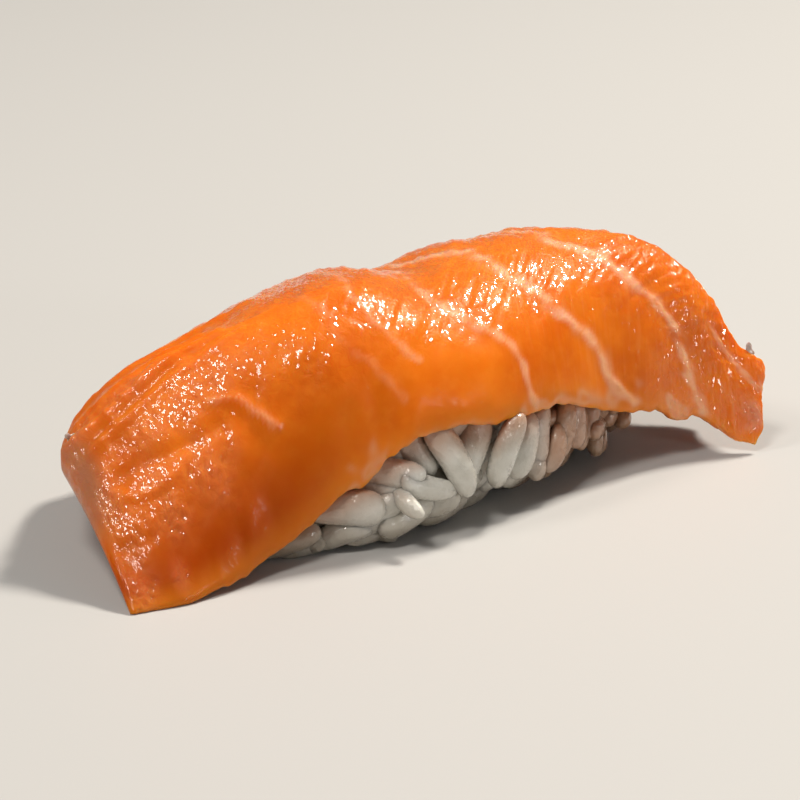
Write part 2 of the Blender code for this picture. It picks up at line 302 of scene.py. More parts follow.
def relief(place, across):
    """Rise of the outer skin in millimetres.

    Flesh swells softly between the bands of fat, and each band is a fine ridge in a shallow
    valley. The left end has folds and wrinkled patches, and muscle fibres run across the tail.
    """
    run, reach = place * SLICE_LENGTH, across * SLICE_HALF_WIDTH
    rise = FLESH_SWELL[0] * waves(run, reach, FLESH_SWELL[1], 58)
    rise += FLESH_WAVES[0] * waves(run, reach, FLESH_WAVES[1], 52)
    for strength, width, line in BANDS:
        away = line_distance(place, across, line) + 0.15 * waves(run, reach, 2.0, 59)
        ridge = BAND_RIDGE[0] * np.exp(-((away / BAND_RIDGE[1]) ** 2))
        valley = BAND_VALLEY[0] * np.exp(-((away / BAND_VALLEY[1]) ** 2))
        rise += strength * (ridge - valley)
    for at, over, long_half, wide_half, height in SWELLINGS:
        away = ((place - at) / long_half) ** 2 + ((across - over) / wide_half) ** 2
        rise += height * np.exp(-away)
    for height, width, line in FOLDS:
        away = line_distance(place, across, line) + 0.25 * width * waves(run, reach, 3.0, 53)
        rise += height * np.exp(-((away / width) ** 2))
    wrinkle = WRINKLES[0] * (1 - np.abs(waves(run, reach, WRINKLES[1], 54)))
    wrinkle += FINE_WRINKLES[0] * waves(run, reach, FINE_WRINKLES[1], 55)
    rise += patch_strength(place, across) * wrinkle
    fibre = FIBRES[0] * waves(run + FIBRE_LEAN * reach, reach * 0.13, FIBRES[1], 56, 22)
    rise += (0.25 * ease(0.52, 0.8, place) + 0.75 * tail_share(place, across)) * fibre
    upper = ease(-0.66, -0.35, across) * ease(0.10, 0.30, place)
    ripple = RIPPLES[0] * waves(run - 0.75 * reach, (run + reach) * 0.30, RIPPLES[1], 64, 18)
    ripple += FINE_RIPPLES[0] * waves(run * 1.3, reach * 0.55, FINE_RIPPLES[1], 57)
    return rise + upper * ripple


def section(place, across):
    """The outer skin, the way into the flesh, its full thickness, and the share left by the rim."""
    outer = skin(place, across)
    inward = unit(along(HEART, place) - outer)
    full = along(THICKNESS, place)[..., 0]
    full = full * (1 - EDGE_THINNING * ease(THINNING_START, 1, np.abs(across)))
    from_ends = np.minimum(place, 1 - place) * SLICE_LENGTH
    from_sides = (1 - np.abs(across)) * SLICE_HALF_WIDTH
    radius = full * EDGE_ROUND
    share = rounded(from_ends, radius) * rounded(from_sides, radius)
    return outer, inward, full, share


def slab(place, across, side):
    """A point of the slice: side -1 is its outer face and side 1 its underside.

    Both lie half of the thickness away from the middle, which the rounded rim makes less.
    """
    outer, inward, full, share = section(place, across)
    depth = full * 0.5 + side * full * share * 0.5
    if side < 0:
        depth = depth - relief(place, across) * share
    return outer + inward * depth[..., None]


def crowded(steps, crowding):
    """Numbers from 0 to 1 that stand closer together near both ends."""
    even = np.linspace(0, 1, steps + 1)
    return (1 - crowding) * even + crowding * (1 - np.cos(np.pi * even)) / 2


def places_along(steps):
    """Places from 0 to 1 that stand closer together on the fibrous tail and at both ends."""
    fine = np.linspace(0, 1, 4001)
    crowd = 1 + ease(0.72, 0.84, fine) + 2.5 * np.exp(-fine / 0.012)
    crowd += 2.5 * np.exp(-(1 - fine) / 0.012)
    total = np.concatenate([[0], np.cumsum((crowd[1:] + crowd[:-1]) / 2)])
    return np.interp(np.linspace(0, 1, steps + 1), total / total[-1], fine)


# -------- from arrays to pieces


def frame_shift():
    """How far the shapes here lie from the frame, from the box of the CAD slice."""
    low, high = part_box("salmon")
    place, across = np.meshgrid(crowded(90, 0.6), crowded(60, 0.6) * 2 - 1, indexing="ij")
    plain = plain_slab(place, across)
    own_low, own_high = plain.min(axis=0), plain.max(axis=0)
    middle = (np.array(low) + np.array(high)) / 2 / MM - (own_low + own_high) / 2
    return np.array([middle[0], middle[1], low[2] / MM])


def plain_slab(place, across):
    """The outer face without relief, as a list of points."""
    outer, inward, full, share = section(place, across)
    return (outer + inward * (full * 0.5 * (1 - share))[..., None]).reshape(-1, 3)


def make_mesh(name, points, faces, material, values=None):
    """A smooth-shaded piece from points in millimetres, with a value for each point by name."""
    mesh = bpy.data.meshes.new(name)
    mesh.from_pydata(((points + SHIFT) * MM).tolist(), [], faces)
    for value_name, numbers in (values or {}).items():
        layer = mesh.attributes.new(value_name, "FLOAT", "POINT")
        layer.data.foreach_set("value", np.asarray(numbers, np.float32))
    mesh.shade_smooth()
    mesh.validate()
    mesh.materials.append(material)
    piece = bpy.data.objects.new(name, mesh)
    bpy.context.collection.objects.link(piece)
    return piece


def tube_faces(rings, around):
    """Quads between rings of points, and triangles that close the first and the last ring.

    The points are the rings in turn, then a point at the start and one at the end.
    """
    ring = np.arange(rings * around).reshape(rings, around)
    after = np.roll(ring, -1, axis=1)
    quads = np.stack([ring[:-1], after[:-1], after[1:], ring[1:]], axis=-1).reshape(-1, 4)
    start = np.full(around, ring.size)
    end = start + 1
    tips = np.concatenate([
        np.stack([after[0], ring[0], start], axis=-1), np.stack([ring[-1], after[-1], end], axis=-1)
    ])
    return quads, tips


def subdivide(piece, levels):
    """Smooths a piece with a live Subdivision Surface."""
    modifier = piece.modifiers.new("smooth", "SUBSURF")
    modifier.levels = levels
    modifier.render_levels = levels


# -------- materials


class Nodes:
    """Short ways to add and link nodes in one material."""

    def __init__(self, name):
        self.material = bpy.data.materials.new(name)
        self.material.use_nodes = True
        self.tree = self.material.node_tree
        self.shader = self.tree.nodes["Principled BSDF"]

    def add(self, kind, **settings):
        """A node with its settings, whose inputs are then set or linked by feed."""
        node = self.tree.nodes.new(kind)
        for key, value in settings.items():
            setattr(node, key, value)
        return node

    def feed(self, socket, value):
        """Links a socket to an input, or sets it to a plain value."""
        if isinstance(value, bpy.types.NodeSocket):
            self.tree.links.new(value, socket)
        else:
            socket.default_value = value

    def settings(self, numbers):
        """Sets the shader's inputs of these names to plain values."""
        for key, number in numbers.items():
            self.shader.inputs[key].default_value = number

    def value(self, name):
        """A value that the mesh holds for each point."""
        return self.add("ShaderNodeAttribute", attribute_name=name).outputs["Fac"]

    def place(self):
        """Object coordinates."""
        return self.add("ShaderNodeTexCoord").outputs["Object"]

    def fibre_place(self, along_scale, across_scale):
        """Coordinates in millimetres on the slice, scaled apart along it and across it."""
        node = self.add("ShaderNodeCombineXYZ")
        self.feed(node.inputs[0], self.math("MULTIPLY", self.value("run"), along_scale))
        self.feed(node.inputs[1], self.math("MULTIPLY", self.value("reach"), across_scale))
        return node.outputs[0]

    def noise(self, vector, scale, detail=2.0, rough=0.5, distortion=0.0):
        """Noise between 0 and 1."""
        node = self.add("ShaderNodeTexNoise")
        self.feed(node.inputs["Vector"], vector)
        node.inputs["Scale"].default_value = scale
        node.inputs["Detail"].default_value = detail
        node.inputs["Roughness"].default_value = rough
        node.inputs["Distortion"].default_value = distortion
        return node.outputs["Fac"]

    def math(self, kind, one, two=0.0, clamp=False):
        """One sum on two values."""
        node = self.add("ShaderNodeMath", operation=kind, use_clamp=clamp)
        self.feed(node.inputs[0], one)
        self.feed(node.inputs[1], two)
        return node.outputs[0]

    def span(self, value, low, high, to_low=0.0, to_high=1.0):
        """A value brought from one span to another, and held inside it."""
        node = self.add("ShaderNodeMapRange", clamp=True)
        self.feed(node.inputs["Value"], value)
        for key, number in (("From Min", low), ("From Max", high), ("To Min", to_low),
                            ("To Max", to_high)):
            node.inputs[key].default_value = number
        return node.outputs["Result"]

    def mix(self, share, one, two):
        """Two colours mixed by a share."""
        node = self.add("ShaderNodeMix", data_type="RGBA")
        self.feed(node.inputs["Factor"], share)
        self.feed(node.inputs["A"], one)
        self.feed(node.inputs["B"], two)
        return node.outputs["Result"]

    def bump(self, height, strength, distance, below=None):
        """A bumped normal from a height, on top of another normal if one is given."""
        node = self.add("ShaderNodeBump")
        node.inputs["Strength"].default_value = strength
        node.inputs["Distance"].default_value = distance
        self.feed(node.inputs["Height"], height)
        if below is not None:
            self.feed(node.inputs["Normal"], below)
        return node.outputs["Normal"]

    def vector(self, kind, one, two=None, scale=None):
        """One sum on two vectors, or on a vector and a number."""
        node = self.add("ShaderNodeVectorMath", operation=kind)
        self.feed(node.inputs[0], one)
        if two is not None:
            self.feed(node.inputs[1], two)
        if scale is not None:
            self.feed(node.inputs["Scale"], scale)
        return node.outputs[0]

    def cell_turn(self, place):
        """A random turn for each small cell: mostly near zero, and seldom up to 1 either way."""
        bend = self.add("ShaderNodeTexNoise")
        self.feed(bend.inputs["Vector"], place)
        bend.inputs["Scale"].default_value = 0.9
        bent = self.vector("ADD", place, self.vector("SCALE", bend.outputs["Color"], scale=1.6))
        cell = self.add("ShaderNodeTexVoronoi")
        self.feed(cell.inputs["Vector"], bent)
        cell.inputs["Scale"].default_value = 1.0
        turn = self.vector("SUBTRACT", cell.outputs["Color"], (0.5, 0.5, 0.5))
        squared = self.vector("MULTIPLY", turn, turn)
        cubed = self.vector("MULTIPLY", squared, turn)
        return self.vector("SCALE", cubed, scale=8.0)

    def facets(self, turn, spread, normal=None):
        """A normal turned a little in each cell, so that each cell is a tiny flat facet."""
        if normal is None:
            normal = self.add("ShaderNodeNewGeometry").outputs["Normal"]
        tilted = self.vector("ADD", normal, self.vector("SCALE", turn, scale=spread))
        return self.vector("NORMALIZE", tilted)


def linear(red, green, blue):
    """A colour given as it looks on a screen, from 0 to 255, as linear light."""
    share = np.array([red, green, blue]) / 255
    light = np.where(share <= 0.04045, share / 12.92, ((share + 0.055) / 1.055) ** 2.4)
    return (*light.tolist(), 1.0)


FLESH_DARK = linear(214, 98, 8)
FLESH_BRIGHT = linear(232, 120, 18)
FLESH_MOTTLE = linear(240, 138, 40)
# Painted shade: a darker flesh colour for the low front left of the slice.
FLESH_PAINTED_SHADE = linear(158, 56, 0)
FLESH_THIN = linear(232, 142, 36)
# Pale streaks on the tail: partly real fibre lines, partly painted glints on the fibres.
FLESH_STREAK_AND_GLINT = linear(240, 160, 98)
# Painted sheen: a pale wash for the shiny wrinkled patches.
FLESH_PAINTED_SHEEN = linear(236, 136, 84)
FAT = linear(240, 184, 146)
PALE_RIM = linear(230, 166, 124)
GREY_SKIN = linear(140, 114, 96)
SILVER_DARK = linear(120, 110, 104)
SILVER_LIGHT = linear(206, 186, 170)
GRAIN_COLOURS = (linear(206, 203, 193), linear(184, 179, 167))
CORE_COLOURS = (linear(184, 174, 156), linear(162, 150, 132))
RICE_CLOUD = linear(232, 231, 224)
# Painted shade: a warm brown rice colour for the shade and light under the slice.
RICE_PAINTED_SLICE_SHADE = linear(164, 104, 54)
# Painted shade: a darker rice colour towards the table.
RICE_PAINTED_LOW_SHADE = linear(122, 104, 78)


def salmon_material():
    """Wet raw salmon: orange flesh with fine fibres, pale fat and thin yellowish edges; painted
    shade on the low front left, a painted sheen on the wrinkled patches, and tail streaks that are
    partly painted glints.
    """
    n = Nodes("raw_salmon")
    fat = n.value("fat")
    patch = n.value("patch")
    tail = n.value("tail")
    upper = n.value("upper")
    cloud = n.noise(n.place(), 110, 3.0, 0.55)
    mottle = n.noise(n.place(), 620, 3.0, 0.6)
    flesh = n.mix(n.span(cloud, 0.35, 0.68), FLESH_DARK, FLESH_BRIGHT)
    flesh = n.mix(n.span(mottle, 0.45, 0.75, 0.0, 0.3), flesh, FLESH_MOTTLE)
    # Painted shade: the flesh is darkened low on the front left.
    flesh = n.mix(n.math("MULTIPLY", n.value("painted_shade"), 0.85), flesh, FLESH_PAINTED_SHADE)
    flesh = n.mix(n.math("MULTIPLY", n.value("thin"), 0.5), flesh, FLESH_THIN)
    streak = n.noise(n.fibre_place(1.9, 0.18), 1.0, 2.0, 0.5)
    # Pale tail streaks, partly real fibre lines and partly painted glints.
    streak_and_glint_share = n.math("MULTIPLY", n.span(streak, 0.50, 0.72, 0.0, 0.28), tail)
    flesh = n.mix(streak_and_glint_share, flesh, FLESH_STREAK_AND_GLINT)
    speckle = n.span(n.noise(n.place(), 900, 2.0, 0.6), 0.3, 0.7, 0.65, 1.0)
    fat_share = n.math("MULTIPLY", fat, speckle, clamp=True)
    colour = n.mix(n.math("MULTIPLY", fat_share, 0.85), flesh, FAT)
    colour = n.mix(n.math("MULTIPLY", n.value("pale"), 0.80), colour, PALE_RIM)
    colour = n.mix(n.math("MULTIPLY", n.value("grey"), 0.85), colour, GREY_SKIN)
    # Painted sheen on the wrinkled patches.
    colour = n.mix(n.math("MULTIPLY", patch, 0.25), colour, FLESH_PAINTED_SHEEN)
    shader = n.shader
    n.feed(shader.inputs["Base Color"], colour)
    gloss = n.noise(n.place(), 240, 4.0, 0.6)
    n.feed(shader.inputs["Roughness"], n.span(gloss, 0.3, 0.7, 0.30, 0.44))
    pebble = n.noise(n.place(), 1100, 3.0, 0.55, 0.6)
    cluster = n.span(n.noise(n.place(), 330, 2.0, 0.5), 0.40, 0.62, 0.5, 1.25)
    wet = n.math("MULTIPLY", upper, cluster)
    wet = n.math("ADD", wet, n.math("MULTIPLY", fat, 0.35))
    wet = n.math("ADD", wet, n.math("MULTIPLY", patch, 0.8))
    wet = n.math("ADD", wet, 0.10, clamp=True)
    normal = n.bump(n.math("MULTIPLY", pebble, wet), 0.5, 0.00026)
    normal = n.bump(n.math("MULTIPLY", streak, tail), 0.5, 0.0003, normal)
    n.feed(shader.inputs["Normal"], normal)
    turn = n.mix(n.span(tail, 0.4, 0.8), n.cell_turn(n.fibre_place(6.2, 3.4)),
                 n.cell_turn(n.fibre_place(4.6, 1.1)))
    spread = n.math("ADD", n.math("MULTIPLY", wet, 0.26), n.math("MULTIPLY", tail, 0.34))
    n.feed(shader.inputs["Coat Normal"], n.facets(turn, n.math("ADD", spread, 0.05)))
    shine = n.math("MAXIMUM", n.math("MULTIPLY", upper, 0.75), n.math("MULTIPLY", patch, 0.9))
    n.feed(shader.inputs["Coat Weight"], n.span(shine, 0.0, 1.0, 0.04, 1.0))
    n.settings({
        "Subsurface Weight": 0.6,
        "Subsurface Radius": (1.0, 0.30, 0.08),
        "Subsurface Scale": 0.0024,
        "Specular IOR Level": 0.28,
        "Specular Tint": (1.0, 0.74, 0.46, 1.0),
        "IOR": 1.38,
        "Coat Roughness": 0.08,
    })
    return n.material


def rice_material(name, light, dark):
    """Moist cooked rice: translucent off-white, each grain a little different, with painted shade
    near the table and painted warm shade under the slice.
    """
    n = Nodes(name)
    cloud = n.noise(n.place(), 330, 2.0, 0.5)
    colour = n.mix(n.value("tint"), light, dark)
    colour = n.mix(n.span(cloud, 0.38, 0.66, 0.0, 0.6), colour, RICE_CLOUD)
    # Painted warm shade under the slice.
    colour = n.mix(n.math("MULTIPLY", n.value("painted_slice_shade"), 0.90), colour, RICE_PAINTED_SLICE_SHADE)
    # Painted shade: the rice is darker towards the table.
    colour = n.mix(n.math("MULTIPLY", n.value("low"), 0.60), colour, RICE_PAINTED_LOW_SHADE)
    shader = n.shader
    n.feed(shader.inputs["Base Color"], colour)
    n.feed(shader.inputs["Roughness"], n.span(n.noise(n.place(), 700, 3.0), 0.3, 0.7, 0.26, 0.42))
    normal = n.bump(n.noise(n.place(), 700, 2.0, 0.5), 0.5, 0.0004)
    normal = n.bump(n.noise(n.place(), 2600, 2.0, 0.6), 0.5, 0.00016, normal)
    n.feed(shader.inputs["Normal"], normal)
    glint = n.facets(n.cell_turn(n.vector("SCALE", n.place(), scale=4300.0)), 0.34, normal)
    n.feed(shader.inputs["Coat Normal"], glint)
    n.settings({
        "Subsurface Weight": 0.45,
        "Subsurface Radius": (1.0, 1.0, 0.97),
        "Subsurface Scale": 0.0012,
        "IOR": 1.4,
        "Coat Weight": 1.0,
        "Coat Roughness": 0.06,
    })
    return n.material


def silver_skin_material():
    """Thin silvery skin, grey with a wet shine."""
    n = Nodes("silver_skin")
    shade = n.noise(n.place(), 900, 3.0, 0.6)
    n.feed(n.shader.inputs["Base Color"], n.mix(shade, SILVER_DARK, SILVER_LIGHT))
    n.feed(n.shader.inputs["Roughness"], n.span(shade, 0.3, 0.7, 0.2, 0.4))
    n.feed(n.shader.inputs["Normal"], n.bump(n.noise(n.place(), 2400, 2.0), 0.4, 0.0002))
    n.settings({
        "Subsurface Weight": 0.3,
        "Subsurface Scale": 0.001,
        "Coat Weight": 0.6,
        "Coat Roughness": 0.12,
    })
    return n.material


# -------- the slice


def salmon_slice(material):
    """The slice as one closed mesh: an outer and an under grid that share their whole rim."""
    long_steps, wide_steps = SLICE_STEPS
    place, across = np.meshgrid(
        places_along(long_steps), crowded(wide_steps, END_CROWDING) * 2 - 1, indexing="ij"
    )
    outer = slab(place, across, -1)
    under = slab(place, across, 1)
    outer_index = np.arange(place.size).reshape(place.shape)
    under_index = outer_index.copy()
    inside = (slice(1, -1), slice(1, -1))
    count = place[inside].size
    under_index[inside] = place.size + np.arange(count).reshape(place[inside].shape)
    points = np.concatenate([outer.reshape(-1, 3), under[inside].reshape(-1, 3)])
    points[:, 2] = np.maximum(points[:, 2], 0.0)

    def quads(index):
        corners = [index[:-1, :-1], index[1:, :-1], index[1:, 1:], index[:-1, 1:]]
        return np.stack(corners, axis=-1).reshape(-1, 4)

    faces = np.concatenate([quads(outer_index), quads(under_index)[:, ::-1]]).tolist()
    grey = np.zeros(place.shape)
    for at, over, long_half, wide_half, strength, power in GREY_CORNERS:
        away = np.hypot((place - at) / long_half, (across - over) / wide_half)
        grey += strength * np.exp(-(away**power))
    fields = {
        "fat": band_strength(place, across, BANDS),
        "pale": band_strength(place, across, PALE_EDGE, 0.35),
        "thin": ease(-0.82, -1.0, across),
        "grey": grey,
        "patch": patch_strength(place, across),
        "tail": 0.35 * ease(0.5, 0.75, place) + 0.65 * tail_share(place, across),
        # Painted shade on the low front left of the slice.
        "painted_shade": ease(-0.40, -0.85, across) * ease(0.42, 0.20, place),
        "upper": np.maximum(
            ease(-0.70, -0.40, across) * (0.3 + 0.7 * ease(0.20, 0.34, place)),
            ease(0.80, 0.86, place),
        ),
        "run": place * SLICE_LENGTH + FIBRE_LEAN * across * SLICE_HALF_WIDTH,
        "reach": across * SLICE_HALF_WIDTH,
    }
    values = {}
    for name, field in fields.items():
        values[name] = np.concatenate([field.ravel(), field[inside].ravel()])
    return make_mesh("salmon_slice", points, faces, material, values)


def sliver(material, name, place, across, reach, width, thickness):
    """A loose bit of skin: an oval section swept from a spot on the slice, pointed at its end.

    Its path is a quadratic that leaves the spot and bends a little, and its width falls off as
    the square root of what is left of it.
    """
    spot = slab(np.array([[place]]), np.array([[across]]), -1)[0, 0]
    reach = np.array(reach)
    t = np.linspace(0, 0.97, SLIVER_RINGS)[:, None, None]
    angle = np.linspace(0, 2 * np.pi, SLIVER_SIDES, endpoint=False)[None, :, None]
    side = unit(np.cross(reach, [0.3, 1.0, 0.2]))
    out = unit(np.cross(side, reach))
    shrink = np.sqrt(1 - t) * (1 + 0.25 * np.sin(9 * t))
    middle = spot - 0.35 * reach + 1.35 * reach * t + 0.35 * np.linalg.norm(reach) * out * t**2
    points = middle + shrink * (
        side * np.cos(angle) * width / 2 + out * np.sin(angle) * thickness / 2
    )
    ends = [spot - 0.35 * reach, middle[-1, 0] + 0.03 * reach]
    quads, tips = tube_faces(SLIVER_RINGS, SLIVER_SIDES)
    flat = np.concatenate([points.reshape(-1, 3), ends])
    piece = make_mesh(name, flat, quads.tolist() + tips.tolist(), material)
    subdivide(piece, 1)
    return piece


# -------- the rice

RICE_CENTRE = (37.2, 12.6)
RICE_TURN = 8.0
RICE_HALF_LENGTH = 25.6
RICE_HALF_WIDTH = 13.4
RICE_WIDEST_Z = 5.0
CORE_INSET = 1.8
CORE_RINGS = 46
CORE_SIDES = 150
CORE_WAVES = (0.45, 3.0)
GRAIN_LENGTH = 7.2
GRAIN_WIDTH = 2.9
GRAIN_THICKNESS = 2.3
# Layers of packed grains: depth of the grains' middles, least spacing, number of tries, and how far
# they stay from the listed front grains.
GRAIN_LAYERS = ((1.15, 2.55, 2600, 2.1), (2.7, 2.9, 1500, 0.0))
GRAIN_SIZE_SPREAD = (0.86, 1.12)
GRAIN_LOWEST_MIDDLE = 0.95
# Low grains at the front right and at the right end lie level and this much deeper.
GRAIN_DRAWN_IN = 0.9
FRONT_GRAIN_LOWEST_MIDDLE = 0.9
FRONT_GRAIN_FLATNESS = 0.80
# Points round a grain and rings along it, before smoothing.
FRONT_GRAIN_STEPS = (14, 11)
GRAIN_STEPS = (8, 6)
# A spot of the block is hidden if the slice lies over it and also over the place this far below.
HIDING_DROP = 3.5
# Where the rays that look for the block's front face start, well in front of it.
RAY_START = -60.0
# Painted warm shade under the slice: its strength, the distance that it ends at, and where it is
# full.
SLICE_SHADE_PAINT = (0.75, 3.4, 0.3)

# Grains that show at the front, listed one by one: x, z, lean up from level, swing out of the face,
# length, width, and how far each stands proud of the block's face.
FRONT_GRAINS = [
    (27.0, 7.1, -6, 4, 7.4, 3.0, 0.8), (22.5, 4.3, 0, 6, 7.9, 3.5, 0.9),
    (17.1, 1.9, 11, 0, 7.0, 2.8, 0.3), (18.8, 1.3, 15, 0, 5.2, 2.3, -0.5),
    (22.4, 1.7, 15, 10, 5.6, 2.6, 0.1), (25.2, 3.6, 29, 0, 5.8, 2.9, 0.0),
    (25.8, 1.6, -2, 0, 6.6, 2.4, -0.5), (28.2, 4.8, -59, 62, 5.6, 2.0, 0.2),
    (30.8, 5.7, -22, 0, 6.6, 2.5, 0.2), (28.6, 3.1, 16, 0, 6.6, 2.8, -0.1),
    (32.3, 3.4, 17, 20, 4.6, 2.5, -0.3), (33.0, 7.5, -66, 8, 8.4, 3.2, 0.7),
    (39.7, 6.8, 67, 10, 7.6, 2.8, 1.3), (42.2, 6.5, 71, 0, 6.6, 2.8, 0.0),
    (34.4, 9.9, -4, 0, 5.4, 2.6, 0.2), (37.0, 7.7, 65, 0, 7.0, 3.2, -0.5),
    (45.0, 6.9, 72, 0, 6.0, 2.8, -0.3), (48.2, 6.5, 66, 0, 6.0, 2.7, -0.3),
    (43.6, 5.0, -79, 0, 5.0, 2.3, -0.6), (46.6, 5.2, 60, 0, 5.0, 2.4, -0.5),
    (25.6, 5.9, -8, 0, 7.0, 2.5, -0.5), (36.0, 3.6, 4, 0, 5.6, 2.6, -0.4),
    (30.2, 8.1, -55, 0, 5.6, 2.7, -0.5), (36.0, 5.4, 38, 0, 6.4, 2.7, -0.5),
    (50.8, 6.6, 74, 0, 5.6, 2.5, -0.4), (53.2, 6.4, 62, 0, 5.4, 2.5, -0.4),
]


def node_tree_of(node):
    """A CAD node's surface, in the millimetres used here, for casting rays on."""
    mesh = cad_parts[node].data
    points = np.array([vertex.co for vertex in mesh.vertices]) / MM - SHIFT
    faces = [tuple(face.vertices) for face in mesh.polygons]
    return BVHTree.FromPolygons(points.tolist(), faces)


def core_axis():
    """Directions along the block and to its back, and its middle."""
    angle = np.radians(RICE_TURN)
    axis = np.array([np.cos(angle), np.sin(angle), 0.0])
    side = np.array([-axis[1], axis[0], 0.0])
    return axis, side, np.array([*RICE_CENTRE, RICE_WIDEST_Z])


def grain_shapes(middle, long_way, out_way, size, around, rings, seed):
    """Grains of rice as one set of points and faces.

    At t along a grain, from -1 to 1, its half width is the square root of 1 - |t|^p, with its own
    p. It is a little fuller at one end, bent like a shallow arc, and its section is an oval with
    a slow wobble.
    """
    random = np.random.default_rng(seed)
    count = len(middle)
    t = np.sin(np.linspace(-np.pi / 2, np.pi / 2, rings + 2))[1:-1]
    angle = np.linspace(0, 2 * np.pi, around, endpoint=False)
    power = random.uniform(2.6, 4.2, count)[:, None, None]
    t = t[None, :, None]
    angle = angle[None, None, :]
    half = np.sqrt(1 - np.abs(t) ** power)
    fuller = 1 + random.uniform(-0.16, 0.16, count)[:, None, None] * t
    phase = random.uniform(0, 2 * np.pi, (2, count))[..., None, None]
    wobble = 1 + 0.07 * np.sin(2 * angle + phase[0] + 2.5 * t)
    wobble = wobble + 0.05 * np.sin(3 * angle + phase[1] - 2 * t)
    across = half * fuller * wobble * np.cos(angle)
    through_it = half * fuller * wobble * np.sin(angle)
    bend = random.uniform(-0.5, 0.5, count)[:, None, None]
    bow = random.uniform(-0.3, 0.3, count)[:, None, None]
    level = np.broadcast_to(t, across.shape)
    ring_points = np.stack([level, across, through_it], axis=-1).reshape(count, -1, 3)
    ends = np.zeros((count, 2, 3))
    ends[:, 0, 0] = -1
    ends[:, 1, 0] = 1
    local = np.concatenate([ring_points, ends], axis=1)
    arc = 1 - local[..., 0] ** 2
    local = local * (size / 2)[:, None, :]
    local[..., 1] += arc * bend[:, 0]
    local[..., 2] += arc * bow[:, 0]
    side_way = np.cross(out_way, long_way)
    axes = np.stack([long_way, side_way, out_way], axis=1)
    points = middle[:, None, :] + np.einsum("gpi,gij->gpj", local, axes)
    quads, tips = tube_faces(rings, around)
    each = rings * around + 2
    base = np.arange(count)[:, None, None] * each
    faces = (quads + base).reshape(-1, 4).tolist() + (tips + base).reshape(-1, 3).tolist()
    flat = points.reshape(-1, 3)
    flat[:, 2] = np.maximum(flat[:, 2], 0.02)
    tint = np.repeat(random.uniform(0, 1, count), each)
    return flat, faces, tint


def front_grains(material, rice_tree):
    """The listed grains at the front, with the places of their middles and their ends."""
    x, z, lean, swing, length, width, proud = np.array(FRONT_GRAINS, float).T
    step = 2.0
    left, depth, right = (
        np.array([front_depth(rice_tree, *spot) for spot in zip(x + shift, z)])
        for shift in (-step, 0.0, step)
    )
    slope = (right - left) / (2 * step)
    out_way = unit(np.stack([slope, np.full(len(x), -1.0), np.full(len(x), 0.12)], axis=1))
    lean, swing = np.radians(lean)[:, None], np.radians(swing)[:, None]
    level = unit(np.cross([0, 0, 1.0], out_way))
    in_face = level * np.cos(lean) + np.cross(out_way, level) * np.sin(lean)
    long_way = unit(in_face * np.cos(swing) + out_way * np.sin(swing))
    facing = unit(out_way - long_way * (out_way * long_way).sum(axis=1, keepdims=True))
    size = np.stack([length, width, width * FRONT_GRAIN_FLATNESS], axis=1)
    inset = size[:, 2] / 2 - proud
    middle = np.stack([x, depth, z], axis=1) - out_way * inset[:, None]
    middle[:, 2] = np.maximum(middle[:, 2], FRONT_GRAIN_LOWEST_MIDDLE)
    points, faces, tint = grain_shapes(middle, long_way, facing, size, *FRONT_GRAIN_STEPS, 5)
    values = rice_values(points, tint)
    piece = make_mesh("rice_front_grains", points, faces, material, values)
    subdivide(piece, 1)
    half = long_way * size[:, :1] / 2
    return piece, np.concatenate([middle - half, middle, middle + half])


def rice_values(points, tint):
    """What the rice's material reads at each point: tint, painted warm shade from the slice, and
    painted shade near the table.
    """
    # The second and third values are painted shade: warm shade from the slice, and darker colour
    # towards the table.
    return {"tint": tint, "painted_slice_shade": painted_slice_shade_share(points), "low": ease(5.5, 0.8, points[:, 2])}


def painted_slice_shade_share(points):
    """How strongly painted warm shade from the slice colours each point: it fades with the distance
    to the slice.

    The distance is the least one to a grid of points on the slice's underside and its outer face.
    The front of the block below the tail, from x 41 to 47 on, gets painted warm shade all over.
    """
    place, across = np.meshgrid(np.linspace(0, 1, 70), np.linspace(-1, 1, 44), indexing="ij")
    dots = np.concatenate([slab(place, across, 1).reshape(-1, 3), plain_slab(place, across)])
    dots_squared = (dots**2).sum(axis=1)
    near = []
    for some in np.array_split(points, max(1, len(points) // 2000)):
        squared = (some**2).sum(axis=1)[:, None] - 2 * some @ dots.T + dots_squared
        near.append(np.sqrt(np.maximum(squared.min(axis=1), 0)))
    near = np.concatenate(near)
    strength, far, close = SLICE_SHADE_PAINT
    # Painted warm shade under the overhanging tail.
    under_tail = ease(41, 47, points[:, 0]) * ease(13, 7, points[:, 1])
    return np.maximum(strength * ease(far, close, near), 0.85 * under_tail)


def front_depth(rice_tree, x, z):
    """Where the block's front face lies at a place along it and a height, or a little lower."""
    for lower in range(4):
        start = Vector((x, RAY_START, max(z - lower, 0.4)))
        spot = rice_tree.ray_cast(start, Vector((0, 1, 0)))[0]
        if spot is not None:
            return spot.y
    return RICE_CENTRE[1]


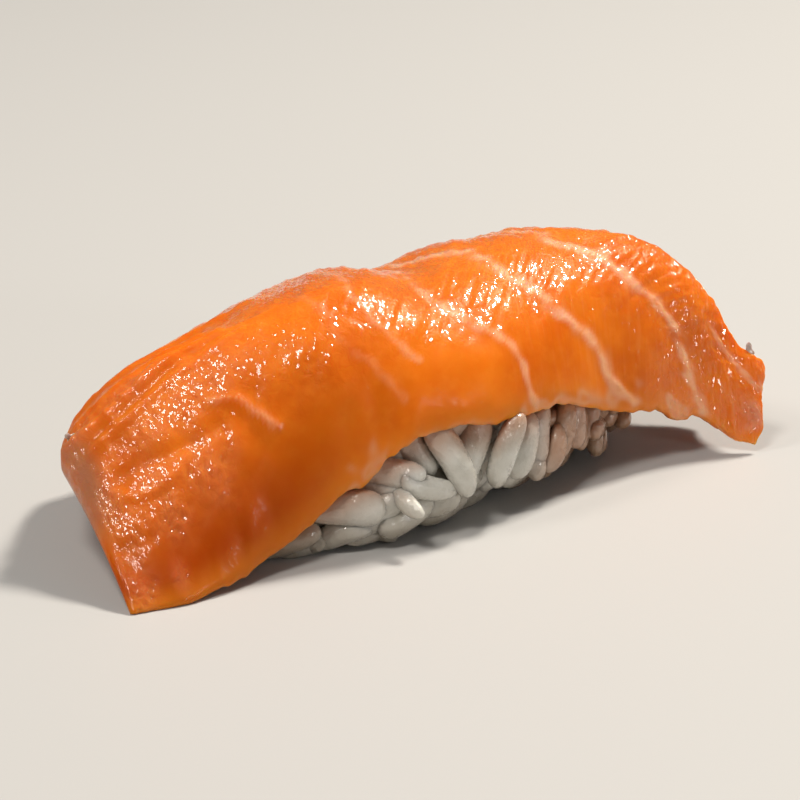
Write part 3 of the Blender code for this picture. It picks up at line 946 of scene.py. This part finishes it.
def packed_grains(material, rice_tree, salmon_tree, taken):
    """Grains packed over the rest of the block, in an outer and an inner layer.

    Rays from the block's middle line find spots on its face, and a spot is used if the slice
    doesn't hide it, if its grain stays under the slice, and if no other grain is too near.
    """
    random = np.random.default_rng(77)
    axis, side, block_middle = core_axis()
    chosen = []
    for inset, spacing, tries, clearance in GRAIN_LAYERS:
        layer_middles = []
        for _ in range(tries):
            turn = random.uniform(0, 2 * np.pi)
            height = random.uniform(1.0, 13.5)
            lean = random.normal(0, 0.75)
            tilt = random.normal(0, 0.18)
            run = (RICE_HALF_LENGTH - RICE_HALF_WIDTH) * np.cos(turn)
            base = block_middle + axis * run
            base[2] = height
            way = unit(axis * np.cos(turn) + side * np.sin(turn))
            spot = rice_tree.ray_cast(Vector(base), Vector(way))[0]
            if spot is None or covered(salmon_tree, spot, way):
                continue
            spot = np.array(spot)
            drawn_in = way[1] < -0.2 and spot[0] > 40 and spot[2] < 3.8
            drawn_in = drawn_in or (way[1] < 0.4 and spot[0] > 57 and spot[2] < 6.0)
            if drawn_in:
                tilt = 0.0
                lean = 0.3 * lean
            middle = spot - way * (inset + GRAIN_DRAWN_IN * drawn_in)
            near = [np.linalg.norm(middle - other) for other in layer_middles]
            if near and min(near) < spacing:
                continue
            if pokes_out(salmon_tree, middle, way):
                continue
            if np.linalg.norm(taken - middle, axis=-1).min() < clearance:
                continue
            layer_middles.append(middle)
            level = np.cross([0, 0, 1.0], way)
            long_way = level * np.cos(lean) + np.array([0, 0, 1.0]) * np.sin(lean)
            long_way = unit(long_way * np.cos(tilt) + way * np.sin(tilt))
            facing = unit(way - long_way * (way @ long_way))
            size = np.array([GRAIN_LENGTH, GRAIN_WIDTH, GRAIN_THICKNESS])
            size = size * random.uniform(*GRAIN_SIZE_SPREAD, 3)
            chosen.append((middle, long_way, facing, size))
    middle, long_way, facing, size = (np.array(column) for column in zip(*chosen))
    middle[:, 2] = np.maximum(middle[:, 2], GRAIN_LOWEST_MIDDLE)
    points, faces, tint = grain_shapes(middle, long_way, facing, size, *GRAIN_STEPS, 9)
    values = rice_values(points, tint)
    piece = make_mesh("rice_grains", points, faces, material, values)
    subdivide(piece, 1)
    return piece


def covered(salmon_tree, spot, way):
    """True if the slice hides a spot and also hides the place a good way below it."""
    lower = spot - Vector((0, 0, HIDING_DROP))
    return all(salmon_tree.ray_cast(start, Vector(way))[0] is not None for start in (spot, lower))


def pokes_out(salmon_tree, middle, way):
    """True if a grain as long as usual, round a middle, would reach the slice's outer face."""
    _, normal, _, gap = salmon_tree.find_nearest(Vector(middle))
    return gap < 0.55 * GRAIN_LENGTH and normal.dot(Vector(way)) > 0.0


def core_reach(rice_tree, base, way):
    """Distance from each base point to the CAD block along its way, by rays.

    A ray is cast for every third ring and column, and the rest is read in between by straight
    lines, first round each ring and then from ring to ring.
    """
    rings, around = base.shape[:2]
    ring_marks = np.unique(np.append(np.arange(0, rings, 3), rings - 1))
    column_marks = np.arange(0, around, 3)
    found = []
    for ring in ring_marks:
        row = [rice_tree.ray_cast(Vector(base[ring, k]), Vector(way[ring, k]))[3] or 3.0
               for k in column_marks]
        found.append(np.interp(np.arange(around), column_marks, row, period=around))
    found = np.array(found)
    low = np.clip(np.searchsorted(ring_marks, np.arange(rings), side="right") - 1, 0,
                  len(ring_marks) - 2)
    share = (np.arange(rings) - ring_marks[low]) / (ring_marks[low + 1] - ring_marks[low])
    return found[low] * (1 - share)[:, None] + found[low + 1] * share[:, None]


def rice_core(material, rice_tree):
    """The block under the grains: rays from its middle, stopped short of the CAD surface.

    Its face rises and falls in soft waves about as wide as a grain.
    """
    axis, side, middle = core_axis()
    turn, rise = np.meshgrid(
        np.linspace(0, 2 * np.pi, CORE_SIDES, endpoint=False),
        np.linspace(-0.5 * np.pi, 0.5 * np.pi, CORE_RINGS + 2)[1:-1],
    )
    run = (RICE_HALF_LENGTH - RICE_HALF_WIDTH) * np.cos(turn) * np.cos(rise)
    base = middle + axis * run[..., None]
    way = (axis * np.cos(turn)[..., None] + side * np.sin(turn)[..., None]) * np.cos(rise)[..., None]
    way = way + np.array([0, 0, 1.0]) * np.sin(rise)[..., None]
    reach = core_reach(rice_tree, base, way)
    reach = reach - CORE_INSET + CORE_WAVES[0] * waves(turn * 16, rise * 14, CORE_WAVES[1], 61)
    points = base + way * np.maximum(reach, 1.0)[..., None]
    points[..., 2] = np.maximum(points[..., 2], 0.03)
    poles = np.array([[middle[0], middle[1], points[0, :, 2].mean()],
                      [middle[0], middle[1], points[-1, :, 2].mean()]])
    flat = np.concatenate([points.reshape(-1, 3), poles])
    quads, tips = tube_faces(CORE_RINGS, CORE_SIDES)
    faces = quads.tolist() + tips.tolist()
    tint = np.clip(0.5 + 0.4 * waves(flat[:, 0], flat[:, 1] + flat[:, 2], 5.0, 62), 0, 1)
    return make_mesh("rice_core", flat, faces, material, rice_values(flat, tint))


# -------- the studio

CAMERA_AZIMUTH = -33.4
CAMERA_ELEVATION = 21.0
CAMERA_DISTANCE = 0.3392
CAMERA_LENS = 149.6
CAMERA_TARGET = (48.3, 30.4, 0.0)
LIGHT_DISTANCE = 0.60
# Square lights: name, direction that each one shines from, side in metres, watts and colour.
LIGHTS = [
    ("key", (0.55, 0.08, 0.82), 0.09, 4.0, (1.0, 0.94, 0.85)),
    ("left", (-0.43, -0.25, 0.86), 0.12, 1.6, (1.0, 0.96, 0.90)),
    ("far_left", (-0.60, 0.14, 0.78), 0.10, 0.7, (1.0, 0.96, 0.90)),
    ("front", (0.42, -0.87, 0.26), 0.08, 0.45, (1.0, 0.97, 0.93)),
]
FLOOR_HALF = 2.0


def main_camera():
    """The camera, which looks at its target from an azimuth, an elevation and a distance."""
    turn, rise = np.radians(CAMERA_AZIMUTH), np.radians(CAMERA_ELEVATION)
    back = Vector((np.sin(turn) * np.cos(rise), -np.cos(turn) * np.cos(rise), np.sin(rise)))
    data = bpy.data.cameras.new("camera")
    data.lens = CAMERA_LENS
    data.sensor_width = 36.0
    data.clip_start = 0.01
    data.clip_end = 20.0
    camera = bpy.data.objects.new("camera", data)
    camera.location = Vector((np.array(CAMERA_TARGET) + SHIFT) * MM) + back * CAMERA_DISTANCE
    camera.rotation_euler = (-back).to_track_quat("-Z", "Y").to_euler()
    bpy.context.collection.objects.link(camera)
    bpy.context.scene.camera = camera


def softbox(name, direction, size, energy, colour):
    """A square area light that faces the object from a direction."""
    data = bpy.data.lights.new(name, "AREA")
    data.shape = "RECTANGLE"
    data.size = size
    data.size_y = size
    data.energy = energy
    data.color = colour
    light = bpy.data.objects.new(name, data)
    way = Vector(direction).normalized()
    light.location = way * LIGHT_DISTANCE
    light.rotation_euler = (-way).to_track_quat("-Z", "Y").to_euler()
    bpy.context.collection.objects.link(light)


def floor():
    """A plain pale floor."""
    n = Nodes("pale_floor")
    n.settings({"Base Color": (0.50, 0.49, 0.475, 1.0), "Roughness": 0.6})
    mesh = bpy.data.meshes.new("floor")
    corners = np.array([(-1, -1, 0), (1, -1, 0), (1, 1, 0), (-1, 1, 0)]) * FLOOR_HALF
    mesh.from_pydata(corners.tolist(), [], [(0, 1, 2, 3)])
    mesh.materials.append(n.material)
    piece = bpy.data.objects.new("floor", mesh)
    bpy.context.collection.objects.link(piece)


def studio():
    """A bright light on the right, two on the left, a weak one in front, and pale surroundings."""
    world = bpy.data.worlds.new("studio")
    world.use_nodes = True
    tree = world.node_tree
    background = tree.nodes["Background"]
    background.inputs["Color"].default_value = (0.95, 0.97, 1.0, 1.0)
    background.inputs["Strength"].default_value = 0.12
    backdrop = tree.nodes.new("ShaderNodeBackground")
    backdrop.inputs["Color"].default_value = (0.70, 0.70, 0.69, 1.0)
    seen = tree.nodes.new("ShaderNodeLightPath")
    choice = tree.nodes.new("ShaderNodeMixShader")
    tree.links.new(seen.outputs["Is Camera Ray"], choice.inputs[0])
    tree.links.new(background.outputs[0], choice.inputs[1])
    tree.links.new(backdrop.outputs[0], choice.inputs[2])
    tree.links.new(choice.outputs[0], tree.nodes["World Output"].inputs["Surface"])
    bpy.context.scene.world = world
    for light in LIGHTS:
        softbox(*light)
    bpy.context.scene.view_settings.view_transform = "Standard"


SHIFT = frame_shift()

main_camera()
floor()
studio()

rice_tree = node_tree_of("rice")
salmon_tree = node_tree_of("salmon")
salmon = salmon_slice(salmon_material())
silver = silver_skin_material()
tail_bit, corner_bit = (sliver(silver, *row) for row in SLIVERS)
cooked_rice = rice_material("cooked_rice", *GRAIN_COLOURS)
core = rice_core(rice_material("rice_core", *CORE_COLOURS), rice_tree)
front, front_places = front_grains(cooked_rice, rice_tree)
grains = packed_grains(cooked_rice, rice_tree, salmon_tree, front_places)

for piece, node, slot in ((salmon, "salmon", "salmon"), (tail_bit, "salmon", "salmon"),
                          (corner_bit, "salmon", "salmon"), (core, "rice", "rice"),
                          (front, "rice", "rice"), (grains, "rice", "rice")):
    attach(piece, "root")
    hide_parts(node)
